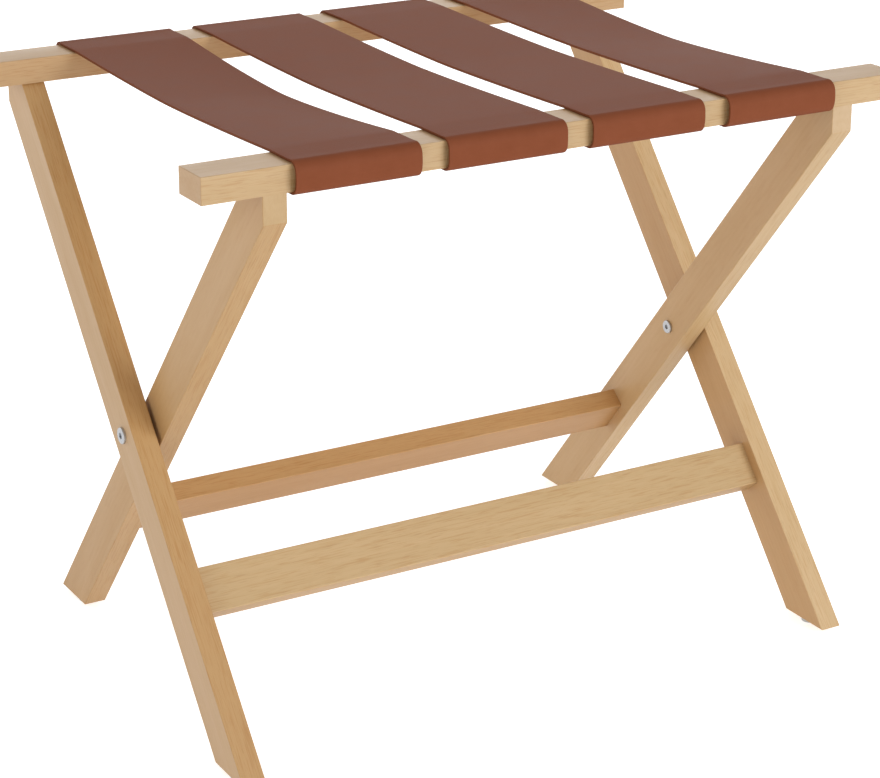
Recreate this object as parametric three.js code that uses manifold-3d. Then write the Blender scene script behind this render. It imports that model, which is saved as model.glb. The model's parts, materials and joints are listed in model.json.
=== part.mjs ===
// Folding luggage bench: two crossed beech frames on one pivot line, joined at the top by leather straps.
// Millimetres, +Z up, X along the rails. The floor is z = 0, the front is -Y and the pivot line is at y = 0.
import * as THREE from 'three';
import { mergeVertices } from 'three/addons/utils/BufferGeometryUtils.js';
import Module from 'manifold-3d';

// Leather straps, each with the dip of its left and right edge midway between the rails
const strapDips = [[5, 11.5], [4.5, 4.5], [4, 3.5], [3, 9]];
const strapDipPower = 1.5;
const strapWidth = 105;
const strapGap = 23.5;
const strapThickness = 2.2;
const strapBend = 4.4;
const strapTail = 31;

// Rails under the straps
const railDepth = 38;
const railHeight = 21.2;
const railOverhang = 25;
const railSetOut = 7.2;

// Legs: their section, their lean, and how far they reach below and above the crossing
const legThickness = 20;
const legWidth = 40;
const legLean = THREE.MathUtils.degToRad(40);
const lowerReach = 224;
const upperReach = 256;
const legGap = 3.5;
const strapToLeg = 4.25;

// Stretchers low on the legs
const stretcherWidth = 39;
const stretcherThickness = 19;
const stretcherDrop = 144;

// Glued dowels at the leg tops and the stretcher ends
const dowelDiameter = 8;
const dowelChamfer = 1;
const dowelInRail = 14;
const dowelInLegTop = 18;
const dowelInLegSide = 12;
const dowelInStretcher = 24;
const railDowelSpacing = 15;
const stretcherDowelSpacing = 19;

// Pivot: a connector bolt screwed into a sleeve nut, with a spacer washer between the legs
const boltHeadDiameter = 14;
const sleeveHeadDiameter = 12;
const headHeight = 2.2;
const headChamfer = 0.6;
const boltSocketAcrossCorners = 5.8;
const sleeveSocketAcrossCorners = 4.6;
const socketDepth = 1.6;
const boltDiameter = 6;
const boltInSleeve = 18;
const sleeveDiameter = 9;
const sleeveInOuterLeg = 8;
const sleeveTipRoom = 2;
const washerDiameter = 24;

// Nail-on foot glides
const glideDiameter = 13;
const glideHeight = 5;
const glideChamfer = 1.2;
const glideFromToe = 32;
const nailDiameter = 3;
const nailLength = 16;

// Domed tacks that hold the strap tails under the rails
const tackHeadDiameter = 9;
const tackHeadHeight = 2.2;
const tackShankDiameter = 2.2;
const tackInRail = 11;
const tackFromEdge = 20;
const tackFromEnd = 9;

// Eased edges of the timber, the small gap left between pieces that touch, the room beyond a pin's point,
// and how far a drill runs out past the face that it starts from
const edgeRound = 1;
const seat = 0.3;
const pointRoom = 1;
const drillRunOut = 1;

// Facets of round pieces, of the strap bends, of a domed head and of the dipping span
const roundSides = 24;
const dowelSides = 12;
const hexSides = 6;
const bendSegments = 3;
const domeSteps = 3;
const dipSteps = 12;

// Places that follow from the sizes above
const leanTan = Math.tan(legLean);
const legHalfCut = legWidth / 2 / Math.cos(legLean);
const strapCount = strapDips.length;
const strapPitch = strapWidth + strapGap;
const strapRowHalf = (strapCount * strapPitch - strapGap) / 2;
const innerLegCentre = strapRowHalf + strapToLeg + legThickness / 2;
const outerLegCentre = innerLegCentre + legThickness + legGap;
const railLength = 2 * (outerLegCentre + legThickness / 2 + railOverhang);
const crossingHeight = glideHeight + seat + lowerReach;
const railFace = upperReach * leanTan + railSetOut;
const strapStandOff = strapBend - edgeRound;
const strapFace = railFace + strapStandOff;
const strapTailEnd = strapFace - strapTail;
const tackY = strapTailEnd + tackFromEnd;
const strapLow = upperReach - seat;
const strapHigh = upperReach + railHeight + seat;
const strapSpan = railFace - railDepth;
const strapCentres = Array.from({ length: strapCount }, (_, i) => (i - (strapCount - 1) / 2) * strapPitch);
const tackOffsets = [-1, 1].map((end) => end * (strapWidth / 2 - tackFromEdge));
const sides = [{ sign: -1, name: 'left' }, { sign: 1, name: 'right' }];

const beech = new THREE.MeshStandardMaterial({ color: 0xcdae84, roughness: 0.6, metalness: 0 });
const leather = new THREE.MeshStandardMaterial({ color: 0x80513f, roughness: 0.55, metalness: 0 });
const steel = new THREE.MeshStandardMaterial({ color: 0xb6b8ba, roughness: 0.35, metalness: 0.9 });
const nylon = new THREE.MeshStandardMaterial({ color: 0xc4c6c4, roughness: 0.5, metalness: 0 });

const wasm = await Module();
wasm.setup();

// A closed geometry as a solid that can be cut, with shared corners merged and flat slivers left out
function toSolid(geometry) {
  const bare = geometry.clone();
  bare.deleteAttribute('normal');
  bare.deleteAttribute('uv');
  const merged = mergeVertices(bare);
  const index = merged.index.array;
  const triVerts = [];
  for (let i = 0; i < index.length; i += 3) {
    const [a, b, c] = index.slice(i, i + 3);
    if (a !== b && b !== c && c !== a) triVerts.push(a, b, c);
  }
  const corners = merged.attributes.position.array;
  const mesh = new wasm.Mesh({ numProp: 3, vertProperties: corners, triVerts: Uint32Array.from(triVerts) });
  return new wasm.Manifold(mesh);
}

// The geometry left when every tool has been taken away from the blank
function cut(blank, tools = []) {
  let solid = toSolid(blank);
  for (const tool of tools) solid = solid.subtract(toSolid(tool));
  const { vertProperties, triVerts } = solid.getMesh();
  const geometry = new THREE.BufferGeometry();
  geometry.setAttribute('position', new THREE.BufferAttribute(vertProperties, 3));
  geometry.setIndex(new THREE.BufferAttribute(triVerts, 1));
  geometry.computeVertexNormals();
  return geometry;
}

// A board of the given outline and thickness, centred on its thickness, with its long edges eased
function board(outline, thickness) {
  const shape = new THREE.Shape(outline.map(([u, v]) => new THREE.Vector2(u, v)));
  const geometry = new THREE.ExtrudeGeometry(shape, {
    depth: thickness - 2 * edgeRound,
    bevelThickness: edgeRound,
    bevelSize: edgeRound,
    bevelOffset: -edgeRound,
    bevelSegments: 2,
  });
  return geometry.translate(0, 0, edgeRound - thickness / 2);
}

function rectangle(length, width) {
  const [u, v] = [length / 2, width / 2];
  return [[-u, -v], [u, -v], [u, v], [-u, v]];
}

// Turns a shape drawn in the XY plane and thick along Z so that it is drawn in YZ and thick along X
function standOnEdge(geometry) {
  const axes = [new THREE.Vector3(0, 1, 0), new THREE.Vector3(0, 0, 1), new THREE.Vector3(1, 0, 0)];
  return geometry.applyMatrix4(new THREE.Matrix4().makeBasis(...axes));
}

// A turned piece: radius and height pairs from the bottom of the axis to its top, along +Z
function turned(profile, segments = roundSides) {
  const points = profile.map(([radius, height]) => new THREE.Vector2(radius, height));
  return new THREE.LatheGeometry(points, segments).rotateX(Math.PI / 2);
}

// A drill along Z from one height to another, and the same along X towards the given side
function drillZ(diameter, from, to, segments = dowelSides) {
  const length = to - from;
  const drill = new THREE.CylinderGeometry(diameter / 2, diameter / 2, length, segments);
  return drill.rotateX(Math.PI / 2).translate(0, 0, from + length / 2);
}

function drillX(diameter, from, to, segments = dowelSides) {
  const length = Math.abs(to - from);
  const drill = new THREE.CylinderGeometry(diameter / 2, diameter / 2, length, segments);
  return drill.rotateZ(Math.PI / 2).translate((from + to) / 2, 0, 0);
}

function place(group, name, geometry, material, x = 0, y = 0, z = 0) {
  const mesh = new THREE.Mesh(geometry, material);
  mesh.name = name;
  mesh.position.set(x, y, z);
  group.add(mesh);
  return mesh;
}

// Dowel with chamfered ends, from z = 0 upwards
function dowel(length) {
  const radius = dowelDiameter / 2;
  const profile = [
    [0, 0],
    [radius - dowelChamfer, 0],
    [radius, dowelChamfer],
    [radius, length - dowelChamfer],
    [radius - dowelChamfer, length],
    [0, length],
  ];
  return cut(turned(profile, dowelSides));
}

// Foot glide: a flat disc with a chamfered lower edge and the nail that fixes it, from z = 0 upwards
function glide() {
  const radius = glideDiameter / 2;
  const profile = [
    [0, 0],
    [radius - glideChamfer, 0],
    [radius, glideChamfer],
    [radius, glideHeight],
    [nailDiameter / 2, glideHeight],
    [nailDiameter / 2, glideHeight + nailLength - nailDiameter],
    [0, glideHeight + nailLength],
  ];
  return cut(turned(profile, roundSides));
}

// Radius and height pairs of a round dome from its crown, below z = 0, up to its rim at z = 0
function dome(radius, height) {
  const sphere = (radius ** 2 + height ** 2) / (2 * height);
  const opening = Math.asin(radius / sphere);
  return Array.from({ length: domeSteps + 1 }, (_, i) => {
    const angle = opening * i / domeSteps;
    return [sphere * Math.sin(angle), sphere * (1 - Math.cos(angle)) - height];
  });
}

// Domed tack, head down, with the top of its head at z = 0
function tack() {
  const shank = seat * 2 + strapThickness + tackInRail;
  const profile = [
    ...dome(tackHeadDiameter / 2, tackHeadHeight),
    [tackShankDiameter / 2, 0],
    [tackShankDiameter / 2, shank - tackShankDiameter],
    [0, shank],
  ];
  return cut(turned(profile, dowelSides));
}

const tackHole = tackShankDiameter + 2 * seat;
const dowelHole = dowelDiameter + 2 * seat;
const pivotHole = sleeveDiameter + 2 * seat;
const nailHole = nailDiameter + 2 * seat;

// Places on a frame that leans to +Y at the top: dowels in the leg's flat top, the glide under its foot
const legTopMiddle = railFace - (legHalfCut + railSetOut) / 2;
const railDowelYs = [-1, 1].map((end) => legTopMiddle + end * railDowelSpacing / 2);
const footMiddle = -lowerReach * leanTan;
const glideY = footMiddle - legHalfCut + glideFromToe;
const alongLeg = (distance) => ({ y: -distance * Math.sin(legLean), z: -distance * Math.cos(legLean) });
const stretcherDowelDrops = [-1, 1].map((end) => stretcherDrop + end * stretcherDowelSpacing / 2);

// Leg: a straight bar cut level at the foot and under the rail, and upright where it meets the rail's face
function leg(facing, inward) {
  const legTop = upperReach - seat;
  const railCut = (railFace - legHalfCut) / leanTan;
  const outline = [
    [footMiddle - legHalfCut, -lowerReach],
    [footMiddle + legHalfCut, -lowerReach],
    [railFace, railCut],
    [railFace, legTop],
    [legTop * leanTan - legHalfCut, legTop],
  ].map(([y, z]) => [facing * y, z]);
  const insideFace = inward * legThickness / 2;
  const holes = [drillX(pivotHole, -legThickness, legThickness, roundSides)];
  for (const y of railDowelYs) {
    const bottom = legTop - dowelInLegTop - pointRoom;
    holes.push(drillZ(dowelHole, bottom, legTop + drillRunOut).translate(0, facing * y, 0));
  }
  for (const drop of stretcherDowelDrops) {
    const spot = alongLeg(drop);
    const bottom = insideFace - inward * (dowelInLegSide + pointRoom);
    const start = insideFace + inward * drillRunOut;
    holes.push(drillX(dowelHole, bottom, start).translate(0, facing * spot.y, spot.z));
  }
  const nailTop = -lowerReach + nailLength + pointRoom;
  holes.push(drillZ(nailHole, -lowerReach - drillRunOut, nailTop).translate(0, facing * glideY, 0));
  return cut(standOnEdge(board(outline, legThickness)), holes);
}

// Rail: a plain bar with dowel holes over its two legs and tack holes under the strap tails
function rail(facing, legCentre) {
  const blank = board(rectangle(railLength, railDepth), railHeight);
  blank.translate(0, facing * (railFace - railDepth / 2), upperReach + railHeight / 2);
  const below = upperReach - drillRunOut;
  const holes = [];
  for (const { sign } of sides) {
    for (const y of railDowelYs) {
      const hole = drillZ(dowelHole, below, upperReach + dowelInRail + pointRoom);
      holes.push(hole.translate(sign * legCentre, facing * y, 0));
    }
  }
  for (const centre of strapCentres) {
    for (const offset of tackOffsets) {
      const hole = drillZ(tackHole, below, upperReach + tackInRail + pointRoom);
      holes.push(hole.translate(centre + offset, facing * tackY, 0));
    }
  }
  return cut(blank, holes);
}

// Stretcher: a bar between the insides of two legs, turned to their lean, with two dowel holes in each end
function stretcher(legCentre) {
  const half = legCentre - legThickness / 2 - seat;
  const holes = [];
  for (const { sign } of sides) {
    for (const end of [-1, 1]) {
      const bottom = half - dowelInStretcher - pointRoom;
      const hole = drillX(dowelHole, sign * bottom, sign * (half + drillRunOut));
      holes.push(hole.translate(0, end * stretcherDowelSpacing / 2, 0));
    }
  }
  return cut(board(rectangle(2 * half, stretcherWidth), stretcherThickness), holes);
}

// One frame: two legs, the rail on their tops, the stretcher low between them, its dowels, glides and tacks
function frame({ facing, legCentre, legName, railName, stretcherName, end, tackEnd }) {
  const group = new THREE.Group();
  place(group, railName, rail(facing, legCentre), beech);
  const middle = alongLeg(stretcherDrop);
  const bar = place(group, stretcherName, stretcher(legCentre), beech, 0, facing * middle.y, middle.z);
  bar.rotation.x = Math.PI / 2 - facing * legLean;
  for (const { sign, name } of sides) {
    const x = sign * legCentre;
    const insideFace = x - sign * legThickness / 2;
    place(group, `${legName}_${name}`, leg(facing, -sign), beech, x);
    const floor = -lowerReach - seat - glideHeight;
    place(group, `${end}_glide_${name}`, glide(), nylon, x, facing * glideY, floor);
    railDowelYs.forEach((y, i) => {
      const pin = dowel(dowelInLegTop + seat + dowelInRail);
      const z = upperReach - seat - dowelInLegTop;
      place(group, `${railName}_dowel_${name}_${i + 1}`, pin, beech, x, facing * y, z);
    });
    stretcherDowelDrops.forEach((drop, i) => {
      const pin = dowel(dowelInLegSide + seat + dowelInStretcher).rotateY(-sign * Math.PI / 2);
      const spot = alongLeg(drop);
      const start = insideFace + sign * dowelInLegSide;
      place(group, `${stretcherName}_dowel_${name}_${i + 1}`, pin, beech, start, facing * spot.y, spot.z);
    });
  }
  strapCentres.forEach((centre, i) => {
    tackOffsets.forEach((offset, j) => {
      const z = strapLow - strapThickness - seat;
      const name = `${tackEnd}_tack_${i + 1}_${sides[j].name}`;
      place(group, name, tack(), steel, centre + offset, facing * tackY, z);
    });
  });
  return group;
}

// Pivot hardware of one side: the bolt from outside, the sleeve nut from inside, the washer between the legs
function pivot({ sign, name }) {
  const group = new THREE.Group();
  const outside = outerLegCentre + legThickness / 2 + seat;
  const inside = innerLegCentre - legThickness / 2 - seat;
  const sleeveEnd = outerLegCentre - legThickness / 2 + sleeveInOuterLeg;
  const boltLength = outside - sleeveEnd + boltInSleeve;
  const sleeveLength = sleeveEnd - inside;
  const head = (diameter) => [
    [diameter / 2, 0],
    [diameter / 2, headHeight - headChamfer],
    [diameter / 2 - headChamfer, headHeight],
    [0, headHeight],
  ];
  const stem = (diameter, length) => [[0, -length], [diameter / 2, -length], [diameter / 2, 0]];
  const socket = (corners) => drillZ(corners, headHeight - socketDepth, headHeight + drillRunOut, hexSides);
  const boltOutline = [...stem(boltDiameter, boltLength), ...head(boltHeadDiameter)];
  const bolt = cut(turned(boltOutline), [socket(boltSocketAcrossCorners)]);
  const boreDepth = boltInSleeve + sleeveTipRoom;
  const boreStart = -sleeveLength - drillRunOut;
  const bore = drillZ(boltDiameter + 2 * seat, boreStart, boreDepth - sleeveLength, roundSides);
  const sleeveOutline = [...stem(sleeveDiameter, sleeveLength), ...head(sleeveHeadDiameter)];
  const sleeve = cut(turned(sleeveOutline), [socket(sleeveSocketAcrossCorners), bore]);
  const washerHalf = legGap / 2 - seat;
  const washerHole = drillZ(pivotHole, -washerHalf - drillRunOut, washerHalf + drillRunOut, roundSides);
  const washerRadius = washerDiameter / 2;
  const disc = [[0, -washerHalf], [washerRadius, -washerHalf], [washerRadius, washerHalf], [0, washerHalf]];
  const washer = cut(turned(disc), [washerHole]);
  const outwards = sign * Math.PI / 2;
  place(group, `pivot_bolt_${name}`, bolt, steel, sign * outside).rotation.y = outwards;
  place(group, `sleeve_nut_${name}`, sleeve, steel, sign * inside).rotation.y = -outwards;
  const gapMiddle = (innerLegCentre + outerLegCentre) / 2;
  place(group, `pivot_washer_${name}`, washer, nylon, sign * gapMiddle).rotation.y = outwards;
  return group;
}

// Strap: a band that lies over both rails and turns down and under at each end. Between the rails it dips,
// by its own amount at its left and its right edge
function strap([leftDip, rightDip]) {
  const across = strapFace - strapBend;
  const outerBend = strapBend + strapThickness;
  const quarter = Math.PI / 2;
  const shape = new THREE.Shape();
  shape.moveTo(-strapTailEnd, strapLow);
  shape.absarc(-across, strapLow + strapBend, strapBend, -quarter, -2 * quarter, true);
  shape.absarc(-across, strapHigh - strapBend, strapBend, 2 * quarter, quarter, true);
  for (let i = 0; i <= dipSteps; i += 1) shape.lineTo(strapSpan * (2 * i / dipSteps - 1), strapHigh);
  shape.absarc(across, strapHigh - strapBend, strapBend, quarter, 0, true);
  shape.absarc(across, strapLow + strapBend, strapBend, 0, -quarter, true);
  shape.lineTo(strapTailEnd, strapLow);
  shape.lineTo(strapTailEnd, strapLow - strapThickness);
  shape.absarc(across, strapLow + strapBend, outerBend, -quarter, 0, false);
  shape.absarc(across, strapHigh - strapBend, outerBend, 0, quarter, false);
  for (let i = 0; i <= dipSteps; i += 1) {
    shape.lineTo(strapSpan * (1 - 2 * i / dipSteps), strapHigh + strapThickness);
  }
  shape.absarc(-across, strapHigh - strapBend, outerBend, quarter, 2 * quarter, false);
  shape.absarc(-across, strapLow + strapBend, outerBend, 2 * quarter, 3 * quarter, false);
  shape.lineTo(-strapTailEnd, strapLow - strapThickness);
  const settings = { depth: strapWidth, bevelEnabled: false, curveSegments: bendSegments };
  const band = standOnEdge(new THREE.ExtrudeGeometry(shape, settings).translate(0, 0, -strapWidth / 2));
  const { position } = band.attributes;
  for (let i = 0; i < position.count; i += 1) {
    const fromMiddle = Math.min(1, Math.abs(position.getY(i)) / strapSpan);
    const dip = THREE.MathUtils.lerp(leftDip, rightDip, position.getX(i) / strapWidth + 0.5);
    position.setZ(i, position.getZ(i) - dip * (1 - fromMiddle ** strapDipPower));
  }
  const holes = [];
  for (const offset of tackOffsets) {
    for (const facing of [-1, 1]) {
      const hole = drillZ(tackHole, strapLow - strapThickness - drillRunOut, strapLow + seat / 2);
      holes.push(hole.translate(offset, facing * tackY, 0));
    }
  }
  return cut(band, holes);
}

const bench = new THREE.Group();
const aboutPivot = new THREE.Group();
aboutPivot.position.z = crossingHeight;
bench.add(aboutPivot);
aboutPivot.add(frame({
  facing: 1,
  legCentre: outerLegCentre,
  legName: 'outer_leg',
  railName: 'rear_rail',
  stretcherName: 'front_stretcher',
  end: 'front',
  tackEnd: 'rear',
}));
aboutPivot.add(frame({
  facing: -1,
  legCentre: innerLegCentre,
  legName: 'inner_leg',
  railName: 'front_rail',
  stretcherName: 'rear_stretcher',
  end: 'rear',
  tackEnd: 'front',
}));
for (const side of sides) aboutPivot.add(pivot(side));
strapCentres.forEach((centre, i) => {
  place(aboutPivot, `strap_${i + 1}`, strap(strapDips[i]), leather, centre);
});

export default bench;
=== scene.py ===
# Folding luggage bench: two crossed beech frames on one pivot line, joined by four leather straps.
import json
import math

import bpy
import numpy as np
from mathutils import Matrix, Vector


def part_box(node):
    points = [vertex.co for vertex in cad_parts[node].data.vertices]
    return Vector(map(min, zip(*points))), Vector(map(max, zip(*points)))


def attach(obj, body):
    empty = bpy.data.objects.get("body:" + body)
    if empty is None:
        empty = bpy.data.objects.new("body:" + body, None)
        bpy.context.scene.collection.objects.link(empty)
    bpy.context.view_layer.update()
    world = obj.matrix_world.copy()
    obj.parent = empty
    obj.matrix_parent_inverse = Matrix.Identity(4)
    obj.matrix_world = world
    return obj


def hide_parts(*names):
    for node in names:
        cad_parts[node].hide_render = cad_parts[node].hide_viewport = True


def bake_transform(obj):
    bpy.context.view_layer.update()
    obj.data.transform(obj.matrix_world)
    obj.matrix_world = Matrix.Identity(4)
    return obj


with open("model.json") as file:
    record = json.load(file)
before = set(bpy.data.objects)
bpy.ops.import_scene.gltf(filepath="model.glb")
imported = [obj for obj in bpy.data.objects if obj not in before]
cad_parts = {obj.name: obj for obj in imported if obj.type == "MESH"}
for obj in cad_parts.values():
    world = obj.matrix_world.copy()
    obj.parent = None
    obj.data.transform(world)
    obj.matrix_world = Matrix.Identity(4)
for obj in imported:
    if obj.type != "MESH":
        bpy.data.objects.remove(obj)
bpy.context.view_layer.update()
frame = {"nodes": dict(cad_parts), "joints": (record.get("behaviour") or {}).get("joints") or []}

# The studio: a white floor with a soft glow that runs out of the picture, light from all round and
# four large soft lamps. The main lamp stands in front on the right, one fills in from the left, and
# the rear ones are low and shine back off the rails and straps.
scene = bpy.context.scene
scene.view_settings.view_transform = "Standard"
camera_tilt = math.radians(90 - 18.56)
camera_heading = math.radians(-30.10)
camera_data = bpy.data.cameras.new("camera")
camera_data.sensor_width = 36
camera_data.lens = 105.49
camera_data.shift_y = -0.1011
camera_data.clip_end = 60
camera = bpy.data.objects.new("camera", camera_data)
camera.location = (-1.05426, -1.83107, 1.00640)
camera.rotation_euler = (camera_tilt, 0, camera_heading)
scene.collection.objects.link(camera)
scene.camera = camera

white = (1, 1, 1, 1)
floor_size = 40
floor_glow_cast = 0.34
floor_glow_seen = 0.60
room_glow_cast = 0.50
room_glow_seen = 1.0
lamps_aim = Vector((0, 0, 0.3))


def add_node(tree, kind, inputs=None, **settings):
    """A shader node with its settings, and its inputs as plain values or as sockets to join."""
    made = tree.nodes.new(kind)
    for name, value in settings.items():
        setattr(made, name, value)
    for name, value in (inputs or {}).items():
        if isinstance(value, bpy.types.NodeSocket):
            tree.links.new(value, made.inputs[name])
        else:
            made.inputs[name].default_value = value
    return made


def new_material(name):
    """An empty material, and the tree that holds its nodes."""
    made = bpy.data.materials.new(name)
    made.use_nodes = True
    made.node_tree.nodes.clear()
    return made, made.node_tree


def show(tree, surface):
    """Joins a surface with the given inputs to the material's output."""
    shader = add_node(tree, "ShaderNodeBsdfPrincipled", surface)
    add_node(tree, "ShaderNodeOutputMaterial", {"Surface": shader.outputs[0]})


def mixed(tree, share, first, second, **settings):
    """A colour mixed from two, by a share that changes over the surface."""
    share_in, first_in, second_in, colour_out = 0, 6, 7, 2
    inputs = {share_in: share, first_in: first, second_in: second}
    made = add_node(tree, "ShaderNodeMix", inputs, data_type="RGBA", **settings)
    return made.outputs[colour_out]


def two_tones(tree, share, first, second):
    """A colour between two plain ones."""
    return mixed(tree, share, (*first, 1), (*second, 1))


pale_floor, tree = new_material("pale_floor")
patches = add_node(tree, "ShaderNodeTexNoise", {"Scale": 0.7, "Detail": 2.0}).outputs[0]
floor_seen = add_node(tree, "ShaderNodeLightPath").outputs["Is Camera Ray"]
floor_glow = add_node(tree, "ShaderNodeMapRange", {
    "Value": floor_seen, "To Min": floor_glow_cast, "To Max": floor_glow_seen}).outputs[0]
show(tree, {
    "Base Color": two_tones(tree, patches, (0.93, 0.93, 0.93), (0.95, 0.95, 0.95)),
    "Roughness": 0.9,
    "Specular IOR Level": 0.1,
    "Emission Color": white,
    "Emission Strength": floor_glow})
bpy.ops.object.select_all(action="DESELECT")
bpy.ops.mesh.primitive_plane_add(size=floor_size)
floor = bpy.context.object
floor.name = "floor"
floor.data.materials.append(pale_floor)

world = bpy.data.worlds.new("white_room")
scene.world = world
world.use_nodes = True
tree = world.node_tree
tree.nodes.clear()
soft_light = add_node(tree, "ShaderNodeBackground", {"Color": white, "Strength": room_glow_cast})
white_wall = add_node(tree, "ShaderNodeBackground", {"Color": white, "Strength": room_glow_seen})
wall_seen = add_node(tree, "ShaderNodeLightPath").outputs["Is Camera Ray"]
room = add_node(tree, "ShaderNodeMixShader", {
    0: wall_seen, 1: soft_light.outputs[0], 2: white_wall.outputs[0]})
add_node(tree, "ShaderNodeOutputWorld", {"Surface": room.outputs[0]})

for name, place, width, tint, watts in (
    ("front_right_lamp", (1.85, -4.6, 1.92), 3.25, (0.95, 1.0, 1.08), 132),
    ("left_lamp", (-5.2, -1.4, 1.9), 3.4, (1.0, 1.0, 1.0), 45),
    ("rear_left_lamp", (-2.4, 3.2, 1.4), 2.6, (1.0, 1.0, 1.0), 25),
    ("rear_right_lamp", (1.8, 3.3, 1.5), 2.6, (1.0, 1.0, 1.0), 29),
):
    lamp_data = bpy.data.lights.new(name, "AREA")
    lamp_data.size = width
    lamp_data.color = tint
    lamp_data.energy = watts
    lamp = bpy.data.objects.new(name, lamp_data)
    lamp.location = place
    lamp.rotation_euler = (lamps_aim - Vector(place)).to_track_quat("-Z", "Y").to_euler()
    lamp.visible_camera = False
    scene.collection.objects.link(lamp)

# Legs: four bars of pale beech that lean forty degrees either way and cross at the pivot. Each is
# sawn level at the foot and under its rail, and upright where it comes flush with the rail's face,
# and bored for the pivot and for the glued dowels of its rail and its stretcher.
leg_width = 0.040
leg_lean = math.radians(40)
leg_blank_length = 0.72
edge_round = 0.0008
pivot = Vector(frame["joints"][0]["pos_m"])
pivot_hole = 0.0096
dowel_hole = 0.0086
dowel_end_room = 0.001
sawn_from = 0.5
lined_from = 0.7
plain_figure = 0.25
hair = 1e-5


def on_pivot(x):
    """The point of the pivot line at x."""
    return Vector((x, 0, pivot.z))


def up_leg(facing):
    """The way up along a leg that leans back (1) or forward (-1)."""
    return Vector((0, facing * math.sin(leg_lean), math.cos(leg_lean)))


def take(piece):
    """Takes one piece in hand: it alone is selected and active."""
    bpy.ops.object.select_all(action="DESELECT")
    piece.select_set(True)
    bpy.context.view_layer.objects.active = piece


def settle(name):
    """Names the piece in hand, and moves its place, turn and scale into its mesh."""
    piece = bpy.context.object
    piece.name = piece.data.name = name
    bpy.ops.object.transform_apply(location=True, rotation=True, scale=True)
    return piece


def plank(name, size, centre, turn=0.0):
    """A squared bar of the given size, turned about X."""
    bpy.ops.object.select_all(action="DESELECT")
    bpy.ops.mesh.primitive_cube_add(size=1, location=centre, rotation=(turn, 0, 0), scale=size)
    return settle(name)


def saw(point, outwards):
    """A saw cut: what lies beyond the point falls away and the cut is closed."""
    bpy.ops.object.mode_set(mode="EDIT")
    bpy.ops.mesh.select_all(action="SELECT")
    bpy.ops.mesh.bisect(plane_co=point, plane_no=outwards, use_fill=True, clear_outer=True)
    bpy.ops.object.mode_set(mode="OBJECT")


def unpick(kind):
    """Leaves nothing selected on the piece in hand, ready to pick edges or faces."""
    bpy.ops.object.mode_set(mode="EDIT")
    bpy.ops.mesh.select_mode(type=kind)
    bpy.ops.mesh.select_all(action="DESELECT")
    bpy.ops.object.mode_set(mode="OBJECT")


def ease_edges(piece, wanted, radius, segments=3):
    """Rounds the edges whose two ends pass the test."""
    unpick("EDGE")
    for edge in piece.data.edges:
        edge.select = wanted(*(piece.data.vertices[i].co for i in edge.vertices))
    bpy.ops.object.mode_set(mode="EDIT")
    bpy.ops.mesh.bevel(offset=radius, segments=segments, affect="EDGES")
    bpy.ops.object.mode_set(mode="OBJECT")


def rod(start, end, width, sides):
    """A round bar between two points of its axis."""
    start, end = Vector(start), Vector(end)
    bpy.ops.object.select_all(action="DESELECT")
    bpy.ops.mesh.primitive_cylinder_add(
        vertices=sides, radius=width / 2, depth=(end - start).length,
        location=(start + end) / 2, rotation=(end - start).to_track_quat("Z", "Y").to_euler())
    return bpy.context.object


def bore(piece, holes, sides=32):
    """Bores holes into a piece, each given as its start, its end and its width."""
    bits = [rod(*hole, sides) for hole in holes]
    for bit in bits:
        bit.select_set(True)
    if len(bits) > 1:
        bpy.ops.object.join()
    cutter = bpy.context.object
    cut = piece.modifiers.new("holes", "BOOLEAN")
    cut.object = cutter
    cut.solver = "EXACT"
    take(piece)
    bpy.ops.object.modifier_apply(modifier=cut.name)
    bpy.data.objects.remove(cutter)


def dowel_holes(joint, side):
    """The holes for the two dowels of a joint, a little wider and longer than the dowels."""
    holes = []
    for number in (1, 2):
        low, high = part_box(f"{joint}_dowel_{side}_{number}")
        size, middle = high - low, (low + high) / 2
        half = Vector((size.x, 0, 0)) / 2 if size.x > size.z else Vector((0, 0, size.z)) / 2
        half += half.normalized() * dowel_end_room
        holes.append((middle - half, middle + half, dowel_hole))
    return holes


def smooth_over(piece, angle=40):
    """Smooth rounded edges between flat faces that stay flat."""
    take(piece)
    bpy.ops.object.shade_smooth_by_angle(angle=math.radians(angle))
    flats = piece.modifiers.new("flats", "WEIGHTED_NORMAL")
    flats.keep_sharp = True
    bpy.ops.object.modifier_apply(modifier=flats.name)


def lay_grain(bar, along, across, pith, plain_tone_and_shade, lined_tone_and_shade, sawn_tone_and_shade):
    """Stores where each point of a bar lay in the tree, along the grain and across it.

    The grain shows as lines on the faces that look along the third axis, and hardly on the plain
    others. Both kinds of face, and the sawn ends, get their own tone: partly the wood's own colour,
    and partly painted light and shade, each kind of face made lighter or darker by how light falls."""
    along, across = Vector(along).normalized(), Vector(across).normalized()
    axes = np.array([along, across, along.cross(across)])
    points = np.array([v.co for v in bar.data.vertices]) - np.array(pith)
    grain = bar.data.attributes.new("grain", "FLOAT_VECTOR", "POINT")
    grain.data.foreach_set("vector", (points @ axes.T).astype(np.float32).ravel())
    turned = np.abs(np.array([face.normal for face in bar.data.polygons]) @ axes.T)
    sawn, lined = turned[:, 0] > sawn_from, turned[:, 2] > lined_from
    # Painted light and shade: each kind of face gets its own tone, lighter or darker by how light
    # falls on it, on top of the wood's own colour.
    tone_and_shade = bar.data.attributes.new("tone_and_shade", "FLOAT_VECTOR", "FACE")
    tones_and_shades = np.where(sawn[:, None], sawn_tone_and_shade, np.where(lined[:, None], lined_tone_and_shade, plain_tone_and_shade))
    tone_and_shade.data.foreach_set("vector", tones_and_shades.astype(np.float32).ravel())
    figure = bar.data.attributes.new("figure", "FLOAT", "FACE")
    figures = np.where(lined & ~sawn, 1.0, plain_figure)
    figure.data.foreach_set("value", figures.astype(np.float32))


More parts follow.
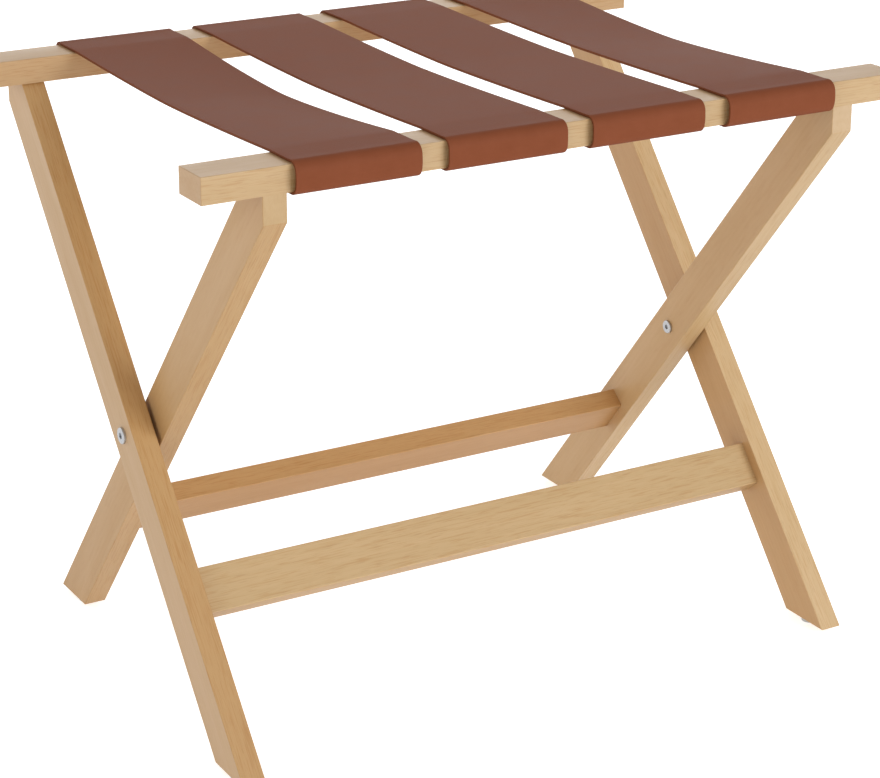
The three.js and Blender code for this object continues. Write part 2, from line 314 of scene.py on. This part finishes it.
def fit(piece, body, node, material):
    """Gives a finished piece its material and its body, where it stands for a CAD node."""
    piece.data.materials.append(material)
    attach(piece, body)
    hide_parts(node)


def noise(tree, place, scale, **values):
    """Noise, finer as its scale grows."""
    inputs = {"Vector": place, "Scale": scale, **values}
    return add_node(tree, "ShaderNodeTexNoise", inputs).outputs[0]


def stretched_noise(tree, place, scales, **values):
    """Noise that is drawn out by its own scale along each axis."""
    mapped = add_node(tree, "ShaderNodeMapping", {"Vector": place, "Scale": scales}).outputs[0]
    return noise(tree, mapped, 1.0, **values)


def spread(tree, value, low, high, bottom=0.0, top=1.0):
    """Stretches the part of a value between low and high to the range from bottom to top."""
    return add_node(tree, "ShaderNodeMapRange", {
        "Value": value, "From Min": low, "From Max": high, "To Min": bottom, "To Max": top,
    }, interpolation_type="SMOOTHSTEP").outputs[0]


def sums(tree, operation, first, second):
    """The sum, difference or product of two values."""
    return add_node(tree, "ShaderNodeMath", {0: first, 1: second}, operation=operation).outputs[0]


def bump(tree, height, strength, distance):
    """The surface's normals with a fine relief."""
    relief = {"Height": height, "Strength": strength, "Distance": distance}
    return add_node(tree, "ShaderNodeBump", relief).outputs[0]


def stored(tree, name, output="Vector"):
    """What a piece's mesh stores under a name."""
    return add_node(tree, "ShaderNodeAttribute", attribute_name=name).outputs[output]


def darkened(tree, colour, marks, share, stain):
    """A colour with darker marks in it."""
    amount = sums(tree, "MULTIPLY", marks, share)
    return mixed(tree, amount, colour, (*stain, 1), blend_type="MULTIPLY")


# The grain of beech: soft streaks, faint growth rings, fine lines and short flecks along the fibre.
beech_grain = bpy.data.node_groups.new("beech_grain", "ShaderNodeTree")
for way, sockets in (
    ("INPUT", {"Grain": "Vector", "Pale": "Color", "Dark": "Color",
               "Tone_and_shade": "Vector", "Figure": "Float"}),
    ("OUTPUT", {"Colour": "Color", "Roughness": "Float", "Height": "Float"}),
):
    for socket, kind in sockets.items():
        beech_grain.interface.new_socket(socket, in_out=way, socket_type="NodeSocket" + kind)
tree = beech_grain
given = add_node(tree, "NodeGroupInput").outputs
grain = given["Grain"]
streak = stretched_noise(tree, grain, (4.5, 75, 40), Detail=5.0, Roughness=0.6, Distortion=0.4)
cloud = stretched_noise(tree, grain, (2.2, 16, 16), Detail=2.0, Distortion=0.4)
line = stretched_noise(tree, grain, (38, 980, 420), Detail=2.0, Distortion=0.6)
fleck = spread(tree, stretched_noise(tree, grain, (75, 1150, 300), Detail=1.0), 0.60, 0.72)
fibre = stretched_noise(tree, grain, (60, 1500, 1500), Detail=2.0)
round_pith = add_node(tree, "ShaderNodeMapping", {"Vector": grain, "Scale": (0.10, 1, 1)})
rings = add_node(tree, "ShaderNodeTexWave", {
    "Vector": round_pith.outputs[0], "Scale": 62.0, "Distortion": 7.0,
    "Detail": 3.0, "Detail Scale": 0.35, "Detail Roughness": 0.55,
}, wave_type="RINGS", rings_direction="X").outputs["Fac"]
shade = 0.0
for part, low, high, share in (
    (streak, 0.30, 0.72, 0.46),
    (cloud, 0.30, 0.72, 0.42),
    (rings, 0.0, 1.0, 0.12),
):
    shade = sums(tree, "ADD", sums(tree, "MULTIPLY", spread(tree, part, low, high), share), shade)
ground = mixed(tree, shade, given["Pale"], given["Dark"])
lines = sums(tree, "MULTIPLY", spread(tree, line, 0.48, 0.70), given["Figure"])
lined = darkened(tree, ground, lines, share=0.75, stain=(0.88, 0.76, 0.60))
flecks = sums(tree, "MULTIPLY", fleck, given["Figure"])
flecked = darkened(tree, lined, flecks, share=0.3, stain=(0.74, 0.60, 0.46))
# The tone of each face is partly the wood's own colour and partly painted light and shade.
toned_and_shaded = add_node(
    tree, "ShaderNodeVectorMath", {0: flecked, 1: given["Tone_and_shade"]}, operation="MULTIPLY").outputs[0]
fibre_height = sums(tree, "MULTIPLY", fibre, 0.5)
fleck_depth = sums(tree, "MULTIPLY", fleck, 0.6)
add_node(tree, "NodeGroupOutput", {
    "Colour": toned_and_shaded,
    "Roughness": spread(tree, streak, 0.2, 0.8, 0.36, 0.50),
    "Height": sums(tree, "SUBTRACT", fibre_height, fleck_depth)})


def beech(name, pale, dark, grain_turn=None):
    """Clear-lacquered beech. The grain follows each bar, or is turned from the object's X axis."""
    made, tree = new_material(name)
    if grain_turn:
        place = add_node(tree, "ShaderNodeTexCoord").outputs["Object"]
        turned = add_node(tree, "ShaderNodeMapping", {"Vector": place, "Rotation": grain_turn})
        cut = {"Grain": turned.outputs[0], "Tone_and_shade": (1, 1, 1), "Figure": 1.0}
    else:
        cut = {"Grain": stored(tree, "grain"), "Tone_and_shade": stored(tree, "tone_and_shade"),
               "Figure": stored(tree, "figure", "Fac")}
    cut.update({"Pale": (*pale, 1), "Dark": (*dark, 1)})
    wood = add_node(tree, "ShaderNodeGroup", cut, node_tree=beech_grain).outputs
    show(tree, {
        "Base Color": wood["Colour"],
        "Roughness": wood["Roughness"],
        "Normal": bump(tree, wood["Height"], strength=0.2, distance=0.00025),
        "Specular IOR Level": 0.48})
    return made


leg_beech = beech("leg_beech", (0.603, 0.381, 0.176), (0.539, 0.326, 0.135))
leg_frames = {
    "outer": ("outer_frame", "rear_rail", "front_stretcher", 1),
    "inner": ("inner_frame", "front_rail", "rear_stretcher", -1),
}
# Each leg's three tones, for its plain faces, its lined faces and its sawn ends, hold the wood's
# own colour and painted light and shade: each face lighter or darker by how light falls on it.
for node, pith, plain_tone_and_shade, lined_tone_and_shade, sawn_tone_and_shade in (
    ("outer_leg_left", (0.011, 0.035, 0.40),
     (0.91, 0.94, 1.08), (0.94, 0.88, 0.78), (0.89, 0.90, 0.92)),
    ("outer_leg_right", (-0.034, 0.021, -1.3),
     (0.93, 0.90, 0.90), (1.13, 1.24, 1.43), (0.95, 1.02, 1.16)),
    ("inner_leg_left", (0.028, 0.044, 2.2),
     (0.85, 0.81, 0.76), (0.84, 0.82, 0.79), (0.86, 0.90, 0.95)),
    ("inner_leg_right", (-0.040, -0.012, 3.1),
     (0.96, 0.99, 1.06), (0.95, 1.04, 1.20), (0.98, 1.09, 1.40)),
):
    body, rail, stretcher, facing = leg_frames[node.split("_")[0]]
    low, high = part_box(node)
    centre = on_pivot((low.x + high.x) / 2)
    rail_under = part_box(rail)[0].z
    blank = (high.x - low.x, leg_width, leg_blank_length)
    leg = plank("beech_" + node, blank, centre, -facing * leg_lean)
    saw((0, 0, low.z), (0, 0, -1))
    saw((0, 0, rail_under), (0, 0, 1))
    saw((0, high.y if facing > 0 else low.y, 0), (0, facing, 0))
    ease_edges(leg, lambda a, b: min(a.z, b.z) < rail_under - hair, edge_round)
    side = "left" if centre.x < 0 else "right"
    pivot_way = (on_pivot(low.x - hair), on_pivot(high.x + hair), pivot_hole)
    bore(leg, [pivot_way, *dowel_holes(rail, side), *dowel_holes(stretcher, side)])
    pith_place = centre + Vector(pith)
    lay_grain(leg, up_leg(facing), (1, 0, 0), pith_place, plain_tone_and_shade, lined_tone_and_shade, sawn_tone_and_shade)
    smooth_over(leg)
    fit(leg, body, node, leg_beech)

# Stretchers: two flat beech bars low on the frames, each between the insides of its pair of legs.
# They are turned to the lean of the legs and held by two glued dowels in each end.
stretcher_width = 0.039
stretcher_thickness = 0.019
stretcher_beech = beech("stretcher_beech", (0.598, 0.375, 0.171), (0.532, 0.321, 0.132))
# Each stretcher's tones, for its plain faces and ends and for its lined faces, hold painted light
# and shade as well as the wood's own colour.
for node, leg_node, cut_on_edge, pith, plain_tone_and_shade, lined_tone_and_shade in (
    ("front_stretcher", "outer_leg_right", False, (0.4, 0.030, 0.018),
     (0.88, 0.88, 0.88), (1.00, 1.09, 1.18)),
    ("rear_stretcher", "inner_leg_right", True, (-1.1, -0.022, 0.034),
     (0.80, 0.70, 0.61), (0.99, 0.92, 0.83)),
):
    body, _, _, facing = leg_frames[leg_node.split("_")[0]]
    leg_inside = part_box(leg_node)[0].x
    low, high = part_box(node)
    centre = (low + high) / 2
    blank = (2 * leg_inside, stretcher_thickness, stretcher_width)
    bar = plank("beech_" + node, blank, centre, -facing * leg_lean)
    ease_edges(bar, lambda a, b: abs(a.x - b.x) > leg_inside, edge_round)
    bore(bar, dowel_holes(node, "left") + dowel_holes(node, "right"))
    across = up_leg(facing).cross((1, 0, 0)) if cut_on_edge else up_leg(facing)
    pith_place = centre + Vector(pith)
    lay_grain(bar, (1, 0, 0), across, pith_place, plain_tone_and_shade, lined_tone_and_shade, plain_tone_and_shade)
    smooth_over(bar)
    fit(bar, body, node, stretcher_beech)

# Rails: two beech bars that lie on the leg tops, flush with the legs' upright faces, and carry the
# straps. Their ends run past the legs. They are dowelled to the leg tops, and the straps are tacked
# to their undersides.
rail_beech = beech("rail_beech", (0.609, 0.387, 0.181), (0.545, 0.332, 0.140))
# The tones of the rails and their sawn ends hold painted light and shade as well as the wood's own
# colour: each face lighter or darker by how light falls on it.
rail_end_tone_and_shade = (0.87, 0.87, 0.97)
for node, body, pith, plain_tone_and_shade, lined_tone_and_shade in (
    ("front_rail", "inner_frame", (0.9, 0.026, -0.031),
     (0.95, 0.98, 1.12), (0.91, 0.96, 1.04)),
    ("rear_rail", "outer_frame", (-0.6, -0.033, -0.024),
     (0.91, 0.91, 0.97), (0.86, 0.83, 0.83)),
):
    low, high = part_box(node)
    centre = (low + high) / 2
    rail = plank("beech_" + node, high - low, centre)
    ease_edges(rail, lambda a, b: max(a.z, b.z) > low.z + hair, edge_round)
    bore(rail, dowel_holes(node, "left") + dowel_holes(node, "right"))
    pith_place = centre + Vector(pith)
    lay_grain(rail, (1, 0, 0), (0, 0, 1), pith_place, plain_tone_and_shade, lined_tone_and_shade, rail_end_tone_and_shade)
    smooth_over(rail)
    fit(rail, body, node, rail_beech)

# Dowels: turned beech pegs, glued two by two into the leg tops and rails and the stretcher ends.
# None shows once the bench is glued up, so the CAD pegs stay, in wood that runs along each peg.
dowel_pale = (0.57, 0.39, 0.21)
dowel_dark = (0.47, 0.31, 0.15)
upright_grain = (0, math.pi / 2, 0)
level_grain = (0, 0, 0.01)
rail_dowel_beech = beech("rail_dowel_beech", dowel_pale, dowel_dark, upright_grain)
stretcher_dowel_beech = beech("stretcher_dowel_beech", dowel_pale, dowel_dark, level_grain)
for node, dowel in frame["nodes"].items():
    if "_dowel_" in node:
        wood = rail_dowel_beech if "rail" in node else stretcher_dowel_beech
        dowel.material_slots[0].material = wood

# Pivot bolts: one zinc-plated connector bolt on each side, its flat head outside the outer leg.
# It is turned with a hexagon key and screws into its sleeve nut, and the pair lets the legs swing.
bolt_head = 0.014
bolt_socket = 0.0058
bolt_width = 0.006
head_height = 0.0022
head_round = 0.0007
tip_round = 0.0005
socket_depth = 0.0016
socket_round = 0.0002
socket_reach = 0.55
same_way = 0.99

zinc_plate, tree = new_material("zinc_plate")
place = add_node(tree, "ShaderNodeTexCoord").outputs["Object"]
dulling = noise(tree, place, 420.0, Detail=4.0)
from_axis = add_node(tree, "ShaderNodeMapping", {"Vector": place, "Location": (0, 0, -pivot.z)})
turning_marks = add_node(tree, "ShaderNodeTexWave", {
    "Vector": from_axis.outputs[0], "Scale": 900.0, "Distortion": 1.5, "Detail": 2.0,
}, wave_type="RINGS", rings_direction="X").outputs["Fac"]
show(tree, {
    "Base Color": two_tones(tree, dulling, (0.47, 0.48, 0.50), (0.60, 0.61, 0.62)),
    "Roughness": spread(tree, dulling, 0.3, 0.7, 0.30, 0.44),
    "Normal": bump(tree, turning_marks, strength=0.10, distance=0.00005),
    "Metallic": 1.0})


def extrude_from(piece, facing, stem_width, ends):
    """Draws a stem out of the face that looks the given way, by lengths and their narrowing."""
    unpick("FACE")
    facing = Vector(facing)
    for face in piece.data.polygons:
        face.select = face.normal.dot(facing) > same_way
    picked = [face for face in piece.data.polygons if face.select]
    centre = Vector(picked[0].center)
    width = 2 * max((piece.data.vertices[i].co - centre).length for i in picked[0].vertices)
    bpy.ops.object.mode_set(mode="EDIT")
    bpy.ops.mesh.inset(thickness=(width - stem_width) / 2)
    for length, narrowing in ends:
        bpy.ops.mesh.extrude_region_move(TRANSFORM_OT_translate={"value": facing * length})
        centre += facing * length
        bpy.ops.transform.resize(value=(narrowing,) * 3, center_override=centre)
    bpy.ops.object.mode_set(mode="OBJECT")


def disc(name, start, end, width, sides=48):
    """A round blank between two points of its axis."""
    rod(start, end, width, sides)
    return settle(name)


def edge_at(place, most=1.0):
    """A test for edges in the plane at x = place, no further than most from the pivot line."""
    def test(a, b):
        level = abs(a.x - place) < hair and abs(b.x - place) < hair
        return level and max(math.hypot(v.y, v.z - pivot.z) for v in (a, b)) < most
    return test


def connector(name, seat, outwards, head_width, socket_width, length, stem_width):
    """A flat round head with a hexagon socket, on a stem. The head meets the wood at its seat."""
    face = seat + outwards * head_height
    tip = seat - outwards * length
    piece = disc(name, on_pivot(seat), on_pivot(face), head_width)
    extrude_from(piece, (-outwards, 0, 0), stem_width, [(length, 1.0)])
    ease_edges(piece, edge_at(face), head_round, segments=4)
    ease_edges(piece, edge_at(tip), tip_round, segments=2)
    socket_top = on_pivot(face + outwards * socket_depth)
    socket_bottom = on_pivot(face - outwards * socket_depth)
    bore(piece, [(socket_top, socket_bottom, socket_width)], sides=6)
    ease_edges(piece, edge_at(face, socket_width * socket_reach), socket_round, segments=2)
    return piece


def repeat(piece, name, move=(0, 0, 0), turn=0.0):
    """A copy of a finished piece with its own mesh, turned about the upright axis and moved."""
    take(piece)
    bpy.ops.object.duplicate()
    copy = bpy.context.object
    copy.location = move
    copy.rotation_euler = (0, 0, turn)
    return settle(name)


leg_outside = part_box("outer_leg_right")[1].x
bolt_length = leg_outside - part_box("pivot_bolt_right")[0].x
bolt = connector(
    "steel_pivot_bolt_right", leg_outside, 1,
    bolt_head, bolt_socket, bolt_length, bolt_width)
smooth_over(bolt)
left_bolt = repeat(bolt, "steel_pivot_bolt_left", turn=math.pi)
fit(bolt, "outer_frame", "pivot_bolt_right", zinc_plate)
fit(left_bolt, "outer_frame", "pivot_bolt_left", zinc_plate)

# Sleeve nuts: the other half of each pivot, a plated sleeve through both legs with its head inside
# the inner leg. The legs turn on the sleeve, and the bolt screws into its bore.
sleeve_head = 0.012
sleeve_socket = 0.0046
sleeve_width = 0.009
sleeve_bore = 0.0066
bore_depth = 0.020
leg_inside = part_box("inner_leg_right")[0].x
sleeve_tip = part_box("sleeve_nut_right")[1].x
sleeve_length = sleeve_tip - leg_inside
nut = connector(
    "steel_sleeve_nut_right", leg_inside, -1,
    sleeve_head, sleeve_socket, sleeve_length, sleeve_width)
bore(nut, [(on_pivot(sleeve_tip + hair), on_pivot(sleeve_tip - bore_depth), sleeve_bore)])
smooth_over(nut)
left_nut = repeat(nut, "steel_sleeve_nut_left", turn=math.pi)
fit(nut, "outer_frame", "sleeve_nut_right", zinc_plate)
fit(left_nut, "outer_frame", "sleeve_nut_left", zinc_plate)

# Pivot washers: grey nylon discs on the sleeves that keep the crossing legs a little apart.
# They are stamped from sheet, so their rims are only lightly rounded.
washer_round = 0.0003
pale_nylon, tree = new_material("pale_nylon")
place = add_node(tree, "ShaderNodeTexCoord").outputs["Object"]
speckle = noise(tree, place, 900.0, Detail=3.0)
show(tree, {
    "Base Color": two_tones(tree, speckle, (0.50, 0.51, 0.50), (0.58, 0.59, 0.58)),
    "Roughness": spread(tree, speckle, 0.3, 0.7, 0.42, 0.56),
    "Normal": bump(tree, speckle, strength=0.12, distance=0.0001)})

low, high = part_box("pivot_washer_right")
washer = disc("nylon_pivot_washer_right", on_pivot(low.x), on_pivot(high.x), high.z - low.z)
bore(washer, [(on_pivot(low.x - hair), on_pivot(high.x + hair), pivot_hole)])
for rim in (low.x, high.x):
    ease_edges(washer, edge_at(rim), washer_round, segments=2)
smooth_over(washer)
left_washer = repeat(washer, "nylon_pivot_washer_left", turn=math.pi)
fit(washer, "outer_frame", "pivot_washer_right", pale_nylon)
fit(left_washer, "outer_frame", "pivot_washer_left", pale_nylon)

# Glides: grey nylon buttons under the four feet, each moulded round a nail that is driven up into
# the leg. The rim that slides on the floor is well rounded.
glide_rim_round = 0.0012
glide_top_round = 0.0003
nail_width = 0.003
nail_point = 0.003
point_share = 0.1
low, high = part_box("front_glide_left")
middle = (low + high) / 2
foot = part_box("outer_leg_left")[0].z
glide_base = (middle.x, middle.y, low.z)
glide_top = (middle.x, middle.y, foot)
glide = disc("nylon_front_glide_left", glide_base, glide_top, high.x - low.x)
ease_edges(glide, lambda a, b: max(a.z, b.z) < low.z + hair, glide_rim_round, segments=4)
ease_edges(glide, lambda a, b: min(a.z, b.z) > foot - hair, glide_top_round, segments=2)
nail_ends = [(high.z - foot - nail_point, 1.0), (nail_point, point_share)]
extrude_from(glide, (0, 0, 1), nail_width, nail_ends)
smooth_over(glide)
glides = {"front_glide_left": glide}
for node in ("front_glide_right", "rear_glide_left", "rear_glide_right"):
    low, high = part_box(node)
    glides[node] = repeat(glide, "nylon_" + node, (low + high) / 2 - middle)
for node, piece in glides.items():
    fit(piece, "outer_frame" if "front" in node else "inner_frame", node, pale_nylon)

# Tacks: domed steel tacks, two through each strap end, driven up into the underside of the rail.
# Their heads show only from below, or when the bench is folded.
tack_rise = 0.0022
tack_shank = 0.0022
tack_point = 0.0022
dome_steps = 32
tack_steel, tree = new_material("tack_steel")
place = add_node(tree, "ShaderNodeTexCoord").outputs["Object"]
dulling = noise(tree, place, 380.0, Detail=4.0)
show(tree, {
    "Base Color": two_tones(tree, dulling, (0.46, 0.46, 0.46), (0.62, 0.61, 0.60)),
    "Roughness": spread(tree, dulling, 0.3, 0.7, 0.26, 0.42),
    "Metallic": 1.0})

low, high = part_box("front_tack_1_left")
first_tack = (low + high) / 2
tail_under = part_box("strap_1")[0].z
tack_reach = (high.x - low.x) / 2
dome_round = (tack_reach ** 2 + tack_rise ** 2) / (2 * tack_rise)
dome_centre = (first_tack.x, first_tack.y, tail_under - tack_rise + dome_round)
bpy.ops.object.select_all(action="DESELECT")
bpy.ops.mesh.primitive_uv_sphere_add(
    segments=dome_steps, ring_count=dome_steps, radius=dome_round, location=dome_centre)
tack = settle("steel_front_tack_1_left")
saw((0, 0, tail_under), (0, 0, 1))
tack_ends = [(high.z - tail_under - tack_point, 1.0), (tack_point, point_share)]
extrude_from(tack, (0, 0, 1), tack_shank, tack_ends)
smooth_over(tack)
tacks = {"front_tack_1_left": tack}
for node in frame["nodes"]:
    if "_tack_" in node and node not in tacks:
        low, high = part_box(node)
        tacks[node] = repeat(tack, "steel_" + node, (low + high) / 2 - first_tack)
for node, piece in tacks.items():
    fit(piece, "inner_frame" if "front" in node else "outer_frame", node, tack_steel)

# Straps: four bands of brown leather, smooth on top and undyed underneath, cut flat with dark
# burnished edges. Each lies over both rails, dips between them, turns down over their outer faces
# and is tacked underneath.
strap_thickness = 0.0022
low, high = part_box("strap_1")
strap_width = high.x - low.x
strap_top = high.z - strap_thickness / 2
strap_bottom = low.z + strap_thickness / 2
strap_front = high.y - strap_thickness / 2
rail_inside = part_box("rear_rail")[0].y
tail_end = 0.1944
top_bend = 0.0071
bottom_bend = 0.0060
bulge_above = 0.024
bulge_below = 0.013
dip_power = 1.5
burnish_round = 0.0004
rim_angle = 60
strap_smooth_angle = 50
tail_steps, bend_steps, face_steps, top_steps, span_steps, across_steps = 6, 8, 4, 8, 64, 16

brown_leather, tree = new_material("brown_leather")
hide = stored(tree, "hide")
mottle = noise(tree, hide, 34.0, Detail=6.0, Roughness=0.7)
pebbles = add_node(tree, "ShaderNodeTexVoronoi", {
    "Vector": hide, "Scale": 900.0, "Randomness": 0.9}, feature="SMOOTH_F1").outputs[0]
pores = noise(tree, hide, 1700.0, Detail=2.0)
show(tree, {
    "Base Color": two_tones(tree, mottle, (0.195, 0.0550, 0.0220), (0.244, 0.0727, 0.0334)),
    "Roughness": spread(tree, mottle, 0.3, 0.7, 0.49, 0.53),
    "Normal": bump(tree, sums(tree, "ADD", pebbles, pores), strength=0.18, distance=0.0003),
    "Specular IOR Level": 0.03})

flesh_side, tree = new_material("leather_flesh_side")
nap = noise(tree, stored(tree, "hide"), 520.0, Detail=5.0, Roughness=0.7)
show(tree, {
    "Base Color": two_tones(tree, nap, (0.500, 0.300, 0.170), (0.600, 0.380, 0.235)),
    "Roughness": spread(tree, nap, 0.3, 0.7, 0.82, 0.94),
    "Normal": bump(tree, nap, strength=0.35, distance=0.0003),
    "Specular IOR Level": 0.1})

cut_edge, tree = new_material("leather_cut_edge")
fuzz = noise(tree, stored(tree, "hide"), 700.0, Detail=3.0)
show(tree, {
    "Base Color": two_tones(tree, fuzz, (0.150, 0.046, 0.017), (0.190, 0.060, 0.023)),
    "Roughness": spread(tree, fuzz, 0.3, 0.7, 0.50, 0.66),
    "Specular IOR Level": 0.06})


def quarter(centre_y, centre_z, radius, first, last):
    """Points round a quarter bend."""
    turns = np.radians(np.linspace(first, last, bend_steps + 1))
    return [(centre_y + radius * math.cos(a), centre_z + radius * math.sin(a)) for a in turns]


def front_line():
    """The middle of the leather from its tail end under the front rail to the rail's inner edge."""
    bottom_y, bottom_z = -strap_front + bottom_bend, strap_bottom + bottom_bend
    top_y, top_z = -strap_front + top_bend, strap_top - top_bend
    line = [(y, strap_bottom) for y in np.linspace(-tail_end, bottom_y, tail_steps + 1)[:-1]]
    line += quarter(bottom_y, bottom_z, bottom_bend, 270, 180)
    line += [(-strap_front, z) for z in np.linspace(bottom_z, top_z, face_steps + 1)[1:-1]]
    line += quarter(top_y, top_z, top_bend, 180, 90)
    return line + [(y, strap_top) for y in np.linspace(top_y, -rail_inside, top_steps + 1)[1:]]


front = front_line()
span = [(y, strap_top) for y in np.linspace(-rail_inside, rail_inside, span_steps + 1)[1:-1]]
strap_line = np.array(front + span + [(-y, z) for y, z in reversed(front)])
line_steps = np.linalg.norm(np.diff(strap_line, axis=0), axis=1)
strap_length = float(line_steps.sum())
strap_along = np.concatenate([[0], np.cumsum(line_steps)])


def bulging():
    """Which way and how much the leather stands out where it turns over a rail's outer face."""
    y, z = strap_line.T
    face_middle = (strap_bottom + strap_top) / 2
    middle = strap_along[np.argmin(np.hypot(y + strap_front, z - face_middle))]
    from_face = np.minimum(strap_along, strap_length - strap_along) - middle
    reach = np.where(from_face > 0, bulge_above, bulge_below)
    amount = np.cos(np.minimum(np.abs(from_face) / reach, 1) * math.pi / 2) ** 2
    run_y, run_z = np.gradient(y, strap_along), np.gradient(z, strap_along)
    return np.column_stack([-run_z * amount, run_y * amount])


bulge_line = bulging()

for number, left_dip, right_dip, bulge in (
    (1, 0.0050, 0.0115, 0.0016),
    (2, 0.0045, 0.0045, 0.0009),
    (3, 0.0040, 0.0035, 0.0010),
    (4, 0.0030, 0.0090, 0.0020),
):
    node = f"strap_{number}"
    low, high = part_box(node)
    centre = (low.x + high.x) / 2
    along_steps = len(strap_line) - 1
    bpy.ops.object.select_all(action="DESELECT")
    bpy.ops.mesh.primitive_grid_add(
        x_subdivisions=across_steps, y_subdivisions=along_steps, size=1)
    strap = bpy.context.object
    strap.name = strap.data.name = f"leather_{node}"
    flat = np.array([v.co for v in strap.data.vertices])
    share = flat[:, 0] + 0.5
    row = np.rint((flat[:, 1] + 0.5) * along_steps).astype(int)
    y, z = (strap_line + bulge_line * bulge)[row].T
    from_middle = np.minimum(np.abs(y) / rail_inside, 1)
    z = z - (left_dip + (right_dip - left_dip) * share) * (1 - from_middle ** dip_power)
    x = centre + (share - 0.5) * strap_width
    places = np.column_stack([x, y, z])
    strap.data.vertices.foreach_set("co", places.astype(np.float32).ravel())
    hide = strap.data.attributes.new("hide", "FLOAT_VECTOR", "POINT")
    on_hide = np.column_stack([share * strap_width + number, strap_along[row], np.zeros(len(row))])
    hide.data.foreach_set("vector", on_hide.astype(np.float32).ravel())
    for finish in (brown_leather, cut_edge, flesh_side):
        strap.data.materials.append(finish)
    wall = strap.modifiers.new("leather", "SOLIDIFY")
    wall.thickness = strap_thickness
    wall.offset = 0
    wall.use_even_offset = True
    wall.use_quality_normals = True
    wall.material_offset_rim = 1
    wall.material_offset = 2
    bpy.ops.object.modifier_apply(modifier=wall.name)
    burnish = strap.modifiers.new("burnish", "BEVEL")
    burnish.width = burnish_round
    burnish.segments = 2
    burnish.material = 0
    burnish.limit_method = "ANGLE"
    burnish.angle_limit = math.radians(rim_angle)
    bpy.ops.object.modifier_apply(modifier=burnish.name)
    smooth_over(strap, strap_smooth_angle)
    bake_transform(strap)
    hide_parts(node)
